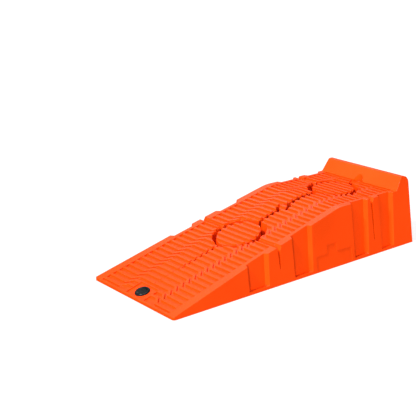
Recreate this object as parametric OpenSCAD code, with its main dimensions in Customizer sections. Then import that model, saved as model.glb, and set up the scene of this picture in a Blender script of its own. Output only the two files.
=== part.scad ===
// Wheel ramp leveler: a one-piece moulded plastic ramp shell, open underneath and stiffened by
// deep folds, with a rubber grip plug pushed through its toe.
// +Y runs uphill from the toe to the wheel stop, +X is the right-hand side and +Z is up.
// The origin is on the ground, at the middle of the footprint.

/* [Overall] */
// Length from the toe to the back wall
ramp_l = 900; // [880:5:940]
// Width across the base
base_w = 358; // [344:2:374]
// Lean of the side walls from upright, in degrees
wall_draft = 8.7; // [8:0.1:11]
// Thickness of the moulded skin
skin = 4.5; // [3.5:0.5:5]

/* [Side profile] */
// Height of the blunt toe edge
toe_h = 7.6; // [7:0.2:9]
// Radius of the two corners of the toe, seen from above
toe_corner_r = 12; // [6:1:14]
// Distance from the toe to the slight knee in the slope
knee_y = 277; // [260:1:290]
// Height of the deck at the knee
knee_h = 82.3; // [81:0.1:85]
// Distance from the toe to the crest, where the platform starts
crest_y = 602; // [590:1:615]
// Height of the level platform
deck_h = 163.4; // [158:0.2:168]
// Radius of the bend at the crest
crest_r = 150; // [60:10:200]
// Distance from the toe to the foot of the wheel stop
stop_y = 846; // [840:1:850]
// Height of the wheel stop above the ground
stop_h = 202; // [197:1:207]
// Distance the front of the wheel stop leans back over its height
stop_lean = 24; // [18:1:28]
// Radius of the front edge of the wheel stop
stop_front_r = 6; // [3:1:8]
// Radius of the back edge of the wheel stop
stop_back_r = 20; // [12:1:20]

/* [Tread] */
// Height of the plain borders above the tread ribs
border_up = 0.8; // [0.4:0.2:1.6]
// Height of the tread ribs above the floor between them, from the knee on
rib_h = 5.2; // [4.4:0.2:6]
// Height of the tread ribs at the toe
toe_rib_h = 4; // [3.6:0.2:4.4]
// Width of a tread rib
rib_w = 7.6; // [6:0.2:9]
// Distance from one tread rib to the next
rib_pitch = 20; // [18:0.5:22]
// Distance from the toe to the front of the first rib
first_rib_y = 13; // [12:0.5:15]
// Number of tread ribs
rib_count = 42; // [38:1:42]
// Half width of the middle run of a rib
chevron_in = 62.5; // [58:0.5:66]
// Half width where the outer runs of a rib start
chevron_out = 80.2; // [76:0.1:84]
// Half width of the tread at the toe
tread_toe = 151; // [146:1:154]
// Half width of the tread on the platform
tread_top = 132; // [128:1:134]
// Width of the plain strip along the toe
toe_strip = 6; // [5:0.5:10]
// Gap between the ends of the ribs and the foot of the wheel stop
foot_gap = 8; // [4:1:12]
// Width of the shallow groove along the middle of the first ribs
groove_w = 2.2; // [1.6:0.2:3]
// Depth of the shallow groove
groove_d = 1.2; // [0.8:0.2:2]

/* [Folds] */
// Height of the bottoms of the folds above the ground
fold_floor = 42; // [38:1:46]
// Width of every fold at its bottom
fold_floor_w = 3; // [2:0.5:4]
// Distance from the toe to the first cross fold and its ring
fold_1_y = 364; // [362:1:368]
// Distance from the toe to the second cross fold and its ring
fold_2_y = 736; // [733:1:739]
// Width of the flared mouth of a cross fold
cross_mouth_w = 18; // [14:1:20]
// Depth of the flared mouth of a cross fold
cross_mouth_d = 11.5; // [9:0.5:14]
// Width of a cross fold just under its flared mouth
cross_w = 8; // [5:0.5:9]
// Distance from the toe to the start of the middle fold
front_fold_y = 152; // [146:1:158]
// Width of the middle fold ahead of the first ring
front_fold_w = 7; // [4:0.5:8]
// Width of the middle fold behind the first ring
rear_fold_w = 15.5; // [8:0.5:16]
// Radius of the round treads inside the rings
disc_r = 60.8; // [58:0.2:63]
// Width of the ring folds
ring_w = 17; // [10:0.5:18]
// Distance from the toe to the small round boss on the middle fold
boss_y = 533; // [525:1:541]
// Radius of the small round boss
boss_r = 11.2; // [10:0.2:13]
// Width of the small ring fold around the boss
boss_ring_w = 11.5; // [7:0.5:12]
// Radius of the scoop at the foot of the wheel stop
scoop_r = 20; // [16:1:22]
// Distance from the middle of the scoop to the foot of the wheel stop
scoop_gap = 8.5; // [6:0.5:10]

/* [Side flutes] */
// Depth of the flutes in the side walls
flute_d = 12.4; // [8:0.2:13]
// Length of the sloping step at each end of a flute
flute_step = 6; // [4:0.5:8]
// Height of the flush sill under the flutes
sill_h = 8; // [7:0.5:10]
// Lean of the rear step of a flute, in degrees
flute_lean = 3.8; // [0:0.2:5]

/* [Wall panel] */
// Distance from the toe to the front of the sunk panel in each side wall
panel_y0 = 499; // [494:1:502]
// Distance from the toe to the back of the sunk panel
panel_y1 = 638; // [630:1:640]
// Height of the bottom of the sunk panel, up the wall
panel_z0 = 4; // [3:0.5:8]
// Height of the top of the sunk panel, up the wall
panel_z1 = 45.5; // [40:0.5:50]
// Distance from the toe to the front of the tab above the panel
tab_y0 = 542; // [530:1:550]
// Distance from the toe to the back of the tab
tab_y1 = 579; // [570:1:590]
// Height of the top of the tab, up the wall
tab_z = 70; // [60:1:76]
// Depth of the sunk panel at the ground
panel_d = 1.4; // [0.6:0.2:2]
// Extra lean of the sunk panel, in degrees
panel_lean = 0.4; // [0.2:0.2:3]

/* [Grip plug] */
// Distance from the toe to the middle of the plug, along the ground
plug_y = 33; // [32:0.5:34]
// Radius of the head of the plug
plug_r = 21; // [19:0.5:22]
// Height of the head of the plug above its pad
plug_head_h = 4.6; // [4.4:0.2:6]
// Radius of the rounded rim of the head
plug_rim_r = 4.4; // [3:0.2:4.4]
// Radius of the flat middle of the dish in the head
dish_r = 11; // [9:0.5:13]
// Depth of the dish
dish_d = 1.4; // [0.8:0.2:1.8]
// Radius of the neck that passes through the shell
plug_neck_r = 12; // [10:0.5:14]
// Radius of the foot under the shell
plug_foot_r = 18; // [16:0.5:19]
// Half width of the flat pad around the plug
pad_half_w = 38; // [36:0.5:42]
// Distance from the toe to the back edge of the pad
pad_back_y = 58; // [56:0.5:60]
// Depth of the pad below the rib tops
pad_d = 3.4; // [3:0.2:4]
// Width of the raised frame around the pad
pad_frame_w = 2.2; // [1.6:0.2:4]

/* [Hidden] */

cut = 1;                                  // extra reach of a cutting solid past the face it opens
tall = 260;                               // height that clears the whole ramp
wide = base_w + 40;                       // width that clears the whole ramp
flute_reach = 30;                         // reach of a wall cutter out of the wall
plug_reach = 30;                          // reach of the plug's cutters up and down its axis
slant = 45;                               // angle of the slanting runs of a rib
draft_run = tan(wall_draft);              // inward run of a side wall for each unit of height
toe_slope = (knee_h - toe_h) / knee_y;    // slope of the first stretch of the deck
toe_angle = atan(toe_slope);
toe_drop = border_up + toe_rib_h;         // from the borders down to the tread floor, at the toe
rib_drop = border_up + rib_h;             // the same, from the knee on
stop_run = stop_lean / (stop_h - deck_h); // how far the stop's front leans back for each unit of height
cavity_toe_y = 22;                        // where the hollow starts behind the solid toe
// Distances from the toe to the two ends of each flute at the ground, front to back
flutes = [[249.5, 320], [413.5, 482], [651, 708], [765.5, 817]];

function unit2(v) = v / norm(v);
// Height of the borders at a distance from the toe, ahead of the wheel stop
function deck_z(y) =
    y < knee_y ? toe_h + toe_slope * y
    : y < crest_y ? knee_h + (deck_h - knee_h) * (y - knee_y) / (crest_y - knee_y)
    : deck_h;
// Points of a round of radius r that replaces the corner b between a and c
function rounded(a, b, c, r, n) =
    let (u = unit2(a - b), v = unit2(c - b), half = acos(u * v) / 2,
         mid = b + unit2(u + v) * r / sin(half),
         from = b + u * r / tan(half) - mid, to = b + v * r / tan(half) - mid,
         start = atan2(from[1], from[0]),
         turn = atan2(from[0] * to[1] - from[1] * to[0], from * to))
    [for (i = [0 : n]) mid + r * [cos(start + turn * i / n), sin(start + turn * i / n)]];

// The deck line from y0 to the foot of the stop, below the borders by toe_d at the toe and d from the knee on
function deck_line(toe_d, d, y0) =
    let (foot = [y0, deck_z(y0) - toe_d - (d - toe_d) * y0 / knee_y], knee = [knee_y, knee_h - d],
         crest = [crest_y, deck_h - d], end = [stop_y, deck_h - d])
    concat([foot, knee], rounded(knee, crest, end, crest_r, 6), [end]);

// Turns a profile drawn as [distance from the toe, height] into a solid across the ramp
module across(w) {
    rotate([90, 0, 90]) translate([0, 0, -w / 2]) linear_extrude(height = w) children();
}

// Everything under the deck line, with the wheel stop
module outer_profile() {
    stop_front = [stop_y + stop_lean, stop_h];
    stop_back = [ramp_l, stop_h];
    polygon(concat(
        [[0, 0]],
        deck_line(0, 0, 0),
        rounded([stop_y, deck_h], stop_front, stop_back, stop_front_r, 4),
        rounded(stop_front, stop_back, [ramp_l, 0], stop_back_r, 6),
        [[ramp_l, 0]]
    ));
}

// The hollow under the deck and inside the wheel stop
module inner_profile() {
    top = stop_h - skin;
    front = stop_y + skin * norm([1, stop_run]);
    polygon(concat(
        [[cavity_toe_y, -cut]],
        deck_line(toe_drop + skin, rib_drop + skin, cavity_toe_y),
        [[front, deck_h - rib_drop - skin], [front, deck_h], [front + stop_run * (top - deck_h), top],
         [ramp_l - stop_back_r, top], [ramp_l - skin, stop_h - stop_back_r],
         [ramp_l - skin, -cut]]
    ));
}

// A solid along the ramp with drafted sides, set in by a distance from the outer walls
module drafted(inset) {
    half = base_w / 2 - inset / cos(wall_draft);
    translate([0, ramp_l + cut, 0]) rotate([90, 0, 0])
        linear_extrude(height = ramp_l + 2 * cut)
            polygon([[-half - cut * draft_run, -cut], [half + cut * draft_run, -cut],
                     [half - tall * draft_run, tall], [-half + tall * draft_run, tall]]);
}

// Outline of the ramp seen from above, which rounds the corners of the toe
module plan_outline() {
    half = base_w / 2 + cut;
    right = rounded([0, -cut], [half, -cut], [half, ramp_l], toe_corner_r, 8);
    left = rounded([-half, ramp_l], [-half, -cut], [0, -cut], toe_corner_r, 8);
    polygon(concat(left, right, [[half, ramp_l + cut], [-half, ramp_l + cut]]));
}

// Puts something on the right-hand wall: x out of it, y along it and z up it, leaning in by extra degrees
module on_wall(extra) {
    translate([base_w / 2, 0, 0]) rotate([0, -wall_draft - extra, 0]) children();
}

// One flute of the right-hand wall, grown by a distance for the inside of the skin
module flute(ends, grow, bottom) {
    back = -flute_d - grow;
    deep = 2 * back;
    front = ends[0] - grow;
    rear = ends[1] + grow;
    far = rear + flute_reach;
    on_wall(0) intersection() {
        translate([0, 0, bottom]) linear_extrude(height = tall)
            polygon([[flute_reach, front], [0, front], [back, front + flute_step],
                     [back, far], [flute_reach, far]]);
        // the rear step leans uphill
        translate([0, rear, 0]) rotate([-flute_lean, 0, 0]) translate([0, 0, -flute_reach])
            linear_extrude(height = tall + flute_reach)
                polygon([[flute_reach, -ramp_l], [deep, -ramp_l], [deep, -flute_step * deep / back],
                         [0, 0], [flute_reach, 0]]);
    }
}

// All the flutes, on both walls
module all_flutes(grow, bottom) {
    for (side = [0, 1], ends = flutes)
        mirror([side, 0, 0]) flute(ends, grow, bottom);
}

// A block that sinks the right-hand wall from y0 to y1 and from z0 to z1
module wall_block(y0, y1, z0, z1, grow) {
    on_wall(panel_lean) translate([-panel_d - grow, y0 - grow, z0 - grow])
        cube([flute_reach, y1 - y0 + 2 * grow, z1 - z0 + 2 * grow]);
}

// The sunk panel of both walls: a wide band with a tab above it
module wall_panels(grow) {
    for (side = [0, 1]) mirror([side, 0, 0]) {
        wall_block(panel_y0, panel_y1, panel_z0, panel_z1, grow);
        wall_block(tab_y0, tab_y1, panel_z0, tab_z, grow);
    }
}

// Cross-section of a fold: narrow at the floor, w wide at height h, and flared on above it
function wedge(w, h, grow) =
    let (low = fold_floor_w / 2 + grow, high = w / 2 + grow, bottom = fold_floor - grow,
         flare = (high - low) * (tall - h) / (h - fold_floor))
    [[-low, bottom], [low, bottom], [high, h], [high + flare, tall],
     [-high - flare, tall], [-high, h]];

// A straight fold along the middle of the ramp, w wide at height h
module middle_fold(y0, y1, w, h, grow) {
    translate([0, y1, 0]) rotate([90, 0, 0]) linear_extrude(height = y1 - y0)
        polygon(wedge(w, h, grow));
}

// Both halves of a cross fold, from its ring out through the side walls
module cross_fold(y, grow) {
    h = deck_z(y);
    neck_z = h - cross_mouth_d;
    low = fold_floor_w / 2 + grow;
    neck = cross_w / 2 + grow;
    mouth = cross_mouth_w / 2 + grow;
    start = disc_r + ring_w / 2;
    for (side = [0, 1]) mirror([side, 0, 0])
        translate([start, y, 0]) rotate([90, 0, 90]) linear_extrude(height = wide / 2 - start)
            polygon([[-low, fold_floor - grow], [low, fold_floor - grow], [neck, neck_z - grow],
                     [mouth, h - grow / 2], [mouth, tall], [-mouth, tall],
                     [-mouth, h - grow / 2], [-neck, neck_z - grow]]);
}

// A ring fold around a round island of radius r
module ring_fold(y, r, w, grow) {
    translate([0, y, 0]) rotate_extrude($fn = 120)
        translate([r + w / 2, 0]) polygon(wedge(w, deck_z(y), grow));
}

// Every fold that is pressed into the deck, grown by a distance for the inside of the skin
module all_folds(grow) {
    ring_mid = disc_r + ring_w / 2;
    ring_fold(fold_1_y, disc_r, ring_w, grow);
    ring_fold(fold_2_y, disc_r, ring_w, grow);
    ring_fold(boss_y, boss_r, boss_ring_w, grow);
    cross_fold(fold_1_y, grow);
    cross_fold(fold_2_y, grow);
    middle_fold(front_fold_y - grow, fold_1_y - ring_mid, front_fold_w, knee_h, grow);
    boss_mid = boss_r + boss_ring_w / 2;
    middle_fold(fold_1_y + ring_mid, boss_y - boss_mid, rear_fold_w, deck_z(boss_y), grow);
    middle_fold(boss_y + boss_mid, fold_2_y - ring_mid, rear_fold_w, deck_z(boss_y), grow);
    middle_fold(fold_2_y + ring_mid, stop_y - scoop_r + grow, rear_fold_w, deck_h, grow);
}

// The scoop at the foot of the wheel stop, where the middle fold ends
module stop_scoop(grow) {
    translate([0, stop_y - scoop_gap, deck_h - rib_drop - grow])
        cylinder(h = tall, r = scoop_r + grow, $fn = 64);
}

// Outline of the tread between its plain borders
module tread_outline() {
    polygon([[-tread_toe, toe_strip], [tread_toe, toe_strip], [tread_top, crest_y],
             [tread_top, stop_y], [-tread_top, stop_y], [-tread_top, crest_y]]);
}

// One tread rib: a straight middle run, set uphill from two outer runs by slanting runs
module rib(i) {
    y = first_rib_y + i * rib_pitch;
    rise = (chevron_out - chevron_in) * tan(slant);
    reach = base_w / 2;
    front = [[-reach, y], [-chevron_out, y], [-chevron_in, y + rise],
             [chevron_in, y + rise], [chevron_out, y], [reach, y]];
    // the slanting runs keep the full rib width across them
    skew = rib_w * tan(slant / 2);
    polygon(concat(front,
        [[reach, y + rib_w], [chevron_out + skew, y + rib_w],
         [chevron_in + skew, y + rise + rib_w], [-chevron_in - skew, y + rise + rib_w],
         [-chevron_out - skew, y + rib_w], [-reach, y + rib_w]]));
}

// The flat pad around the plug
module pad_outline(grow) {
    translate([-pad_half_w - grow, toe_strip - grow])
        square([2 * (pad_half_w + grow), pad_back_y - toe_strip + 2 * grow]);
}

// Whatever is drawn from above, cut down to a depth below the borders
module pocket(toe_d, d) {
    intersection() {
        linear_extrude(height = tall) children();
        across(wide) polygon(concat(deck_line(toe_d, d, 0), [[stop_y, tall], [0, tall]]));
    }
}

// The floor between the ribs, the pad around the plug and the groove behind it
module tread_pockets() {
    rib_end = stop_y - foot_gap;
    groove_y = pad_back_y + pad_frame_w + cut;
    pocket(border_up, border_up) tread_outline();
    pocket(toe_drop, rib_drop) difference() {
        tread_outline();
        difference() {
            for (i = [0 : rib_count - 1]) rib(i);
            translate([-wide / 2, rib_end]) square([wide, ramp_l - rib_end]);
        }
        pad_outline(pad_frame_w);
    }
    pocket(border_up + pad_d, border_up + pad_d) pad_outline(0);
    pocket(border_up + groove_d, border_up + groove_d) translate([-groove_w / 2, groove_y])
        square([groove_w, front_fold_y + cut - groove_y]);
}

// Puts something on the axis of the plug, which stands square to the slope of the toe
module on_plug_axis() {
    translate([0, plug_y, deck_z(plug_y) - border_up - pad_d]) rotate([toe_angle, 0, 0]) children();
}

// The smooth shell, before its tread is cut
module smooth_shell() {
    difference() {
        intersection() {
            across(wide) outer_profile();
            drafted(0);
            linear_extrude(height = tall) plan_outline();
        }
        all_flutes(0, sill_h);
        wall_panels(0);
        all_folds(0);
        stop_scoop(0);
        difference() {
            intersection() {
                across(wide) inner_profile();
                drafted(skin);
            }
            all_flutes(skin, sill_h - skin);
            wall_panels(skin);
            all_folds(skin);
            stop_scoop(skin);
        }
    }
}

module ramp_shell() {
    color("orangered") translate([0, -ramp_l / 2, 0]) difference() {
        smooth_shell();
        tread_pockets();
        on_plug_axis() {
            translate([0, 0, -plug_reach]) cylinder(h = 2 * plug_reach, r = plug_neck_r, $fn = 64);
            translate([0, 0, -skin - plug_reach]) cylinder(h = plug_reach, r = plug_foot_r, $fn = 64);
        }
    }
}

// Outline of half the plug, turned about its axis: dished head with a rounded rim, neck and foot
module plug_outline() {
    steps = 8;
    ridge_r = plug_r - plug_rim_r;
    rim = [for (i = [0 : steps]) let (a = 90 * i / steps)
        [ridge_r + plug_rim_r * cos(a), plug_head_h - plug_rim_r + plug_rim_r * sin(a)]];
    dish = [for (i = [1 : steps]) let (t = i / steps)
        [ridge_r + (dish_r - ridge_r) * t, plug_head_h - dish_d * (1 - cos(180 * t)) / 2]];
    polygon(concat(
        [[0, -plug_reach], [plug_foot_r, -plug_reach], [plug_foot_r, -skin], [plug_neck_r, -skin],
         [plug_neck_r, 0], [plug_r, 0]],
        rim, dish, [[0, plug_head_h - dish_d]]
    ));
}

module grip_plug() {
    color("dimgray") translate([0, -ramp_l / 2, 0]) intersection() {
        on_plug_axis() rotate_extrude($fn = 96) plug_outline();
        translate([-wide / 2, 0, 0]) cube([wide, ramp_l, tall]);
    }
}

ramp_shell();
grip_plug();
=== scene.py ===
"""Looks of the wheel leveling ramp: moulded orange plastic shell with a rubber grip plug."""
import math

import bpy
from mathutils import Matrix, Vector

# Camera: where it stands round the ramp, and the lens that gives the same perspective
CAMERA_AZIMUTH = 51.34      # degrees round from the toe towards the right-hand side
CAMERA_ELEVATION = 17.43    # degrees above the ground
CAMERA_ROLL = -0.59         # degrees
CAMERA_SENSOR = 36          # millimetres wide
CAMERA_LENS = 82.2          # millimetres
CAMERA_DISTANCE = 2.7       # metres from the point it looks at
CAMERA_AIM = (-0.1077, -0.1090, 0.1526)
CAMERA_REACH = 100          # metres, past the far edge of the floor

# Surroundings: a white backdrop that gives little light of its own, and is dim in reflections
BACKDROP = (1.0, 1.0, 1.0)
SKY_LIGHT = (0.24, 0.24, 0.24)
GLOSS_LEVELS = ((0.3, 0.0), (0.6, 0.12), (1.0, 0.4))    # height of the direction, and the level there
FLOOR_COLOUR = (0.14, 0.14, 0.14)
FLOOR_GLOW = 0.8
FLOOR_SIZE = 40.0
FLOOR_DROP = 0.0004         # metres below the ramp, so that the two faces don't coincide

# Suns: name, degrees round from the toe, degrees up, strength, spread in degrees, and whether it glints
SUNS = (
    ("key", 0, 47, 5.1, 12, True),
    ("side", 40, 4, 2.7, 8, False),
    ("wall", 76, 4, 1.35, 8, False),
    ("top", 0, 88, 1.7, 40, True),
    ("back_fill", 194, 8, 2.4, 16, False),
    ("left_fill", -84, 5, 1.2, 20, False),
)

# Softbox behind the ramp: degrees round from the toe, degrees up, metres away, width, height, radiance
RIM_BOX = (-127, 32, 5.0, 3.0, 1.6, 1.5)
SUN_DISTANCE = 6.0          # metres; it only places the lamp, since a sun lights evenly from anywhere

# Rubber and plastic
PLASTIC_COLOUR = (0.72, 0.047, 0.0011)
PLASTIC_WORN = (0.76, 0.09, 0.015)
RUBBER_COLOUR = (0.005, 0.0055, 0.006)
RUBBER_BLOOM = (0.009, 0.010, 0.011)
RUBBER_WORN = (0.03, 0.032, 0.034)

# How shiny each material is, and the range its roughness varies over
PLASTIC_SPECULAR = 0.2
PLASTIC_ROUGHNESS = (0.33, 0.38)
SPECK_ROUGHNESS = (-0.02, 0.03)
MARK_ROUGHNESS = 0.15       # added where the plastic is rubbed or scuffed
RUBBER_SPECULAR = 0.15
RUBBER_ROUGHNESS = (0.24, 0.34)
FLOOR_SPECULAR = 0.1
FLOOR_ROUGHNESS = (0.85, 0.95)

# Marks per metre of each pattern
CLOUD_SCALE = 7.0
FLOW_SCALE = 25.0
RUB_SCALE = 60.0
SPECK_SCALE = 420.0
SCUFF_SCALE = 700.0
GRAIN_SCALE = 1500.0
BLOOM_SCALE = 90.0
PIT_SCALE = 1800.0
TOOTH_SCALE = 300.0
SCUFF_STRETCH = (1.0, 0.05, 1.0)    # scuffs and flow marks run along the ramp

# Depth of each bump, in metres
FLOW_DEPTH = 0.00025
GRAIN_DEPTH = 0.00003
PIT_DEPTH = 0.00004

# Worn edges: how wide they are, in metres, and how strongly they show
PLASTIC_EDGE = 0.0012
RUBBER_EDGE = 0.0008
RUB_STRENGTH = (0.1, 0.6)
SCUFF_STRENGTH = 0.12
RUBBER_RUB = 0.4
EDGE_SAMPLES = 6
EDGE_DOTS = (0.99, 0.75)    # cosine of the turn of the normal where wear starts, and where it is full

# Part of a noise's range that is stretched out, since little of it lies near 0 or 1
MIDDLE = (0.3, 0.7)
UPPER_MIDDLE = (0.35, 0.7)  # leaves more of the surface unmarked
SCUFF_PART = (0.62, 0.72)   # leaves only the rare peaks
SCUFF_GRIT = 0.6            # how rough the edges of a scuff are
FINE_DETAIL = 3.0           # octaves of smaller marks inside the large ones
FINEST_DETAIL = 4.0

# The plastic's colour varies between these two shades of it
DEEP_SHADE = 0.93
PALE_SHADE = 1.05

# Faces closer to one plane than this are merged
FLAT_ANGLE = math.radians(0.5)


def new_material(name):
    """An empty node material with its shader and output already joined."""
    material = bpy.data.materials.new(name)
    material.use_nodes = True
    tree = material.node_tree
    tree.nodes.clear()
    shader = tree.nodes.new("ShaderNodeBsdfPrincipled")
    output = tree.nodes.new("ShaderNodeOutputMaterial")
    tree.links.new(shader.outputs["BSDF"], output.inputs["Surface"])
    return material, tree, shader


def object_coordinates(tree, stretch=(1, 1, 1)):
    """Places on the object, in metres, stretched along each axis."""
    place = tree.nodes.new("ShaderNodeTexCoord")
    mapping = tree.nodes.new("ShaderNodeMapping")
    mapping.inputs["Scale"].default_value = stretch
    tree.links.new(place.outputs["Object"], mapping.inputs["Vector"])
    return mapping.outputs["Vector"]


def noise(tree, where, scale, detail=2.0, roughness=0.5):
    """A noise from 0 to 1 whose marks are about 1/scale metres across."""
    texture = tree.nodes.new("ShaderNodeTexNoise")
    texture.inputs["Scale"].default_value = scale
    texture.inputs["Detail"].default_value = detail
    texture.inputs["Roughness"].default_value = roughness
    tree.links.new(where, texture.inputs["Vector"])
    return texture.outputs["Fac"]


def remap(tree, value, low, high, to_low, to_high):
    """A value stretched from one range to another and held inside it."""
    stretch = tree.nodes.new("ShaderNodeMapRange")
    ends = {"From Min": low, "From Max": high, "To Min": to_low, "To Max": to_high}
    for name, number in ends.items():
        stretch.inputs[name].default_value = number
    tree.links.new(value, stretch.inputs["Value"])
    return stretch.outputs["Result"]


def calculate(tree, operation, first, second):
    """Arithmetic on two values, each a socket or a number."""
    maths = tree.nodes.new("ShaderNodeMath")
    maths.operation = operation
    for socket, value in zip(maths.inputs, (first, second)):
        if isinstance(value, (int, float)):
            socket.default_value = value
        else:
            tree.links.new(value, socket)
    return maths.outputs["Value"]


def blend(tree, amount, first, second):
    """A colour between two others, each a socket or three numbers."""
    mix = tree.nodes.new("ShaderNodeMix")
    mix.data_type = "RGBA"
    tree.links.new(amount, mix.inputs["Factor"])
    for socket, colour in ((mix.inputs["A"], first), (mix.inputs["B"], second)):
        if isinstance(colour, tuple):
            socket.default_value = (*colour, 1)
        else:
            tree.links.new(colour, socket)
    return mix.outputs["Result"]


def edge_mask(tree, radius):
    """A mask, 1 on edges and 0 on flat faces, and the normal of the surface with its edges rounded."""
    rounded = tree.nodes.new("ShaderNodeBevel")
    rounded.samples = EDGE_SAMPLES
    rounded.inputs["Radius"].default_value = radius
    surface = tree.nodes.new("ShaderNodeNewGeometry")
    dot = tree.nodes.new("ShaderNodeVectorMath")
    dot.operation = "DOT_PRODUCT"
    tree.links.new(rounded.outputs["Normal"], dot.inputs[0])
    tree.links.new(surface.outputs["True Normal"], dot.inputs[1])
    return remap(tree, dot.outputs["Value"], *EDGE_DOTS, 0.0, 1.0), rounded.outputs["Normal"]


def bump(tree, height, distance, normal=None):
    """A bump of a given depth in metres, on top of another normal."""
    made = tree.nodes.new("ShaderNodeBump")
    made.inputs["Distance"].default_value = distance
    made.inputs["Strength"].default_value = 1.0
    tree.links.new(height, made.inputs["Height"])
    if normal is not None:
        tree.links.new(normal, made.inputs["Normal"])
    return made.outputs["Normal"]


def shell_plastic():
    """Orange moulded plastic: fine grain, slight flow marks, rubbed edges and faint scuffs along the ramp."""
    material, tree, shader = new_material("shell_plastic")
    place = object_coordinates(tree)
    along = object_coordinates(tree, SCUFF_STRETCH)
    cloud = noise(tree, place, CLOUD_SCALE, FINE_DETAIL)
    speck = noise(tree, place, SPECK_SCALE)
    streaks = noise(tree, along, SCUFF_SCALE, FINE_DETAIL, SCUFF_GRIT)
    scuff = remap(tree, streaks, *SCUFF_PART, 0.0, 1.0)
    wear, rounded = edge_mask(tree, PLASTIC_EDGE)
    patches = remap(tree, noise(tree, place, RUB_SCALE, FINEST_DETAIL), *UPPER_MIDDLE, *RUB_STRENGTH)
    rubbed = calculate(tree, "MULTIPLY", wear, patches)
    marks = calculate(tree, "MAXIMUM", rubbed, calculate(tree, "MULTIPLY", scuff, SCUFF_STRENGTH))
    deep = tuple(DEEP_SHADE * part for part in PLASTIC_COLOUR)
    pale = tuple(PALE_SHADE * part for part in PLASTIC_COLOUR)
    body = blend(tree, remap(tree, cloud, *MIDDLE, 0.0, 1.0), deep, pale)
    tree.links.new(blend(tree, marks, body, PLASTIC_WORN), shader.inputs["Base Color"])
    broad = remap(tree, cloud, *MIDDLE, *PLASTIC_ROUGHNESS)
    gloss = calculate(tree, "ADD", broad, remap(tree, speck, *MIDDLE, *SPECK_ROUGHNESS))
    dulled = calculate(tree, "ADD", gloss, calculate(tree, "MULTIPLY", marks, MARK_ROUGHNESS))
    tree.links.new(dulled, shader.inputs["Roughness"])
    shader.inputs["Specular IOR Level"].default_value = PLASTIC_SPECULAR
    flow = bump(tree, noise(tree, along, FLOW_SCALE), FLOW_DEPTH, rounded)
    grain = bump(tree, noise(tree, place, GRAIN_SCALE), GRAIN_DEPTH, flow)
    tree.links.new(grain, shader.inputs["Normal"])
    return material


def plug_rubber():
    """Black moulded rubber with a satin bloom and fine pitting."""
    material, tree, shader = new_material("plug_rubber")
    place = object_coordinates(tree)
    bloom = noise(tree, place, BLOOM_SCALE, FINEST_DETAIL)
    wear, rounded = edge_mask(tree, RUBBER_EDGE)
    dark = blend(tree, remap(tree, bloom, *UPPER_MIDDLE, 0.0, 1.0), RUBBER_COLOUR, RUBBER_BLOOM)
    rubbed = calculate(tree, "MULTIPLY", wear, RUBBER_RUB)
    tree.links.new(blend(tree, rubbed, dark, RUBBER_WORN), shader.inputs["Base Color"])
    tree.links.new(remap(tree, bloom, *MIDDLE, *RUBBER_ROUGHNESS), shader.inputs["Roughness"])
    shader.inputs["Specular IOR Level"].default_value = RUBBER_SPECULAR
    pits = noise(tree, place, PIT_SCALE)
    tree.links.new(bump(tree, pits, PIT_DEPTH, rounded), shader.inputs["Normal"])
    return material


def floor_paper():
    """Pale studio paper that glows a little, so that shadows on it stay faint."""
    material, tree, shader = new_material("floor_paper")
    place = object_coordinates(tree)
    tooth = noise(tree, place, TOOTH_SCALE, FINE_DETAIL)
    shader.inputs["Base Color"].default_value = (*FLOOR_COLOUR, 1)
    shader.inputs["Specular IOR Level"].default_value = FLOOR_SPECULAR
    shader.inputs["Emission Color"].default_value = (1, 1, 1, 1)
    shader.inputs["Emission Strength"].default_value = FLOOR_GLOW
    tree.links.new(remap(tree, tooth, *MIDDLE, *FLOOR_ROUGHNESS), shader.inputs["Roughness"])
    return material


def merge_facets(piece):
    """Merges the flat facets of a CAD mesh. The material rounds its edges, in the shading only.

    Faces that met along a merged edge can part by up to 0.2 mm, so the merged mesh isn't watertight.
    """
    flat = piece.modifiers.new("flat_faces", "DECIMATE")
    flat.decimate_type = "DISSOLVE"
    flat.angle_limit = FLAT_ANGLE


def direction(azimuth, elevation):
    """A unit vector: azimuth in degrees round from the toe towards the right-hand side."""
    round_by, up_by = math.radians(azimuth), math.radians(elevation)
    level = math.cos(up_by)
    return Vector((math.sin(round_by) * level, -math.cos(round_by) * level, math.sin(up_by)))


def make_camera():
    """The camera stands on a sphere round the point it looks at."""
    outward = direction(CAMERA_AZIMUTH, CAMERA_ELEVATION)
    camera = bpy.data.objects.new("camera", bpy.data.cameras.new("camera"))
    bpy.context.scene.collection.objects.link(camera)
    turn = outward.to_track_quat("Z", "Y").to_matrix() @ Matrix.Rotation(math.radians(CAMERA_ROLL), 3, "Z")
    camera.matrix_world = Matrix.Translation(Vector(CAMERA_AIM) + outward * CAMERA_DISTANCE) @ turn.to_4x4()
    camera.data.lens = CAMERA_LENS
    camera.data.sensor_width = CAMERA_SENSOR
    camera.data.clip_end = CAMERA_REACH
    bpy.context.scene.camera = camera


def make_lamp(name, kind, azimuth, elevation, distance):
    """A lamp in a direction from the ramp, shining back at it."""
    light = bpy.data.lights.new(name, kind)
    lamp = bpy.data.objects.new(name, light)
    bpy.context.scene.collection.objects.link(lamp)
    away = direction(azimuth, elevation)
    turn = away.to_track_quat("Z", "Y").to_matrix().to_4x4()
    lamp.matrix_world = Matrix.Translation(away * distance) @ turn
    return lamp


def make_sun(name, azimuth, elevation, strength, spread, glints):
    """A soft light from far away, which glints in glossy surfaces or only lights them."""
    lamp = make_lamp(name, "SUN", azimuth, elevation, SUN_DISTANCE)
    lamp.visible_glossy = glints
    lamp.data.energy = strength
    lamp.data.angle = math.radians(spread)


def make_softbox(name, azimuth, elevation, distance, width, height, radiance):
    """A rectangular softbox whose face has a given radiance."""
    light = make_lamp(name, "AREA", azimuth, elevation, distance).data
    light.shape = "RECTANGLE"
    light.size = width
    light.size_y = height
    light.energy = radiance * math.pi * width * height


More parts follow.
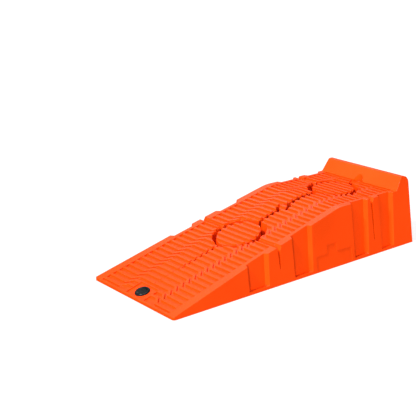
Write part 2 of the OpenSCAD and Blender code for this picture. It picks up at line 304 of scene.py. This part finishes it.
def make_sky():
    """A white backdrop for the camera, even light on surfaces, and reflections dark at the horizon."""
    world = bpy.data.worlds.new("studio")
    bpy.context.scene.world = world
    world.use_nodes = True
    world.cycles.sampling_method = "NONE"    # the light path then tells diffuse rays from glossy ones
    tree = world.node_tree
    place = tree.nodes.new("ShaderNodeTexCoord")
    split = tree.nodes.new("ShaderNodeSeparateXYZ")
    ramp = tree.nodes.new("ShaderNodeValToRGB")
    tree.links.new(place.outputs["Generated"], split.inputs["Vector"])
    tree.links.new(split.outputs["Z"], ramp.inputs["Fac"])
    ramp.color_ramp.elements.new(0.5)
    for stop, (height, level) in zip(ramp.color_ramp.elements, GLOSS_LEVELS):
        stop.position = height
        stop.color = (level, level, level, 1)
    path = tree.nodes.new("ShaderNodeLightPath")
    light = blend(tree, path.outputs["Is Glossy Ray"], SKY_LIGHT, ramp.outputs["Color"])
    seen = blend(tree, path.outputs["Is Camera Ray"], light, BACKDROP)
    tree.links.new(seen, tree.nodes["Background"].inputs["Color"])


def make_floor():
    """A wide pale floor that doesn't throw its own light or reflection back at the ramp."""
    mesh = bpy.data.meshes.new("floor")
    half = FLOOR_SIZE / 2
    outline = ((-half, -half), (half, -half), (half, half), (-half, half))
    corners = [(x, y, -FLOOR_DROP) for x, y in outline]
    mesh.from_pydata(corners, [], [(0, 1, 2, 3)])
    floor = bpy.data.objects.new("floor", mesh)
    floor.data.materials.append(floor_paper())
    bpy.context.scene.collection.objects.link(floor)
    floor.visible_diffuse = False
    floor.visible_glossy = False


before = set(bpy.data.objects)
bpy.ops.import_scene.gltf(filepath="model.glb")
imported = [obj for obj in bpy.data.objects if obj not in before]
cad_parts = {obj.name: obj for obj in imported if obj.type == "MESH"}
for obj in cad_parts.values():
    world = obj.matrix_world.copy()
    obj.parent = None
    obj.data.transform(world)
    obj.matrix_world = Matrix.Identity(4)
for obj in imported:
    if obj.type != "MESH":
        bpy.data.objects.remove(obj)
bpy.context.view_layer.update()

bpy.context.scene.view_settings.view_transform = "Standard"
make_camera()
make_sky()
make_floor()
for sun in SUNS:
    make_sun(*sun)
make_softbox("rim", *RIM_BOX)

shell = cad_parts["ramp_shell"]
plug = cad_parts["grip_plug"]
for piece, material in ((shell, shell_plastic()), (plug, plug_rubber())):
    piece.data.materials.clear()
    piece.data.materials.append(material)
    merge_facets(piece)
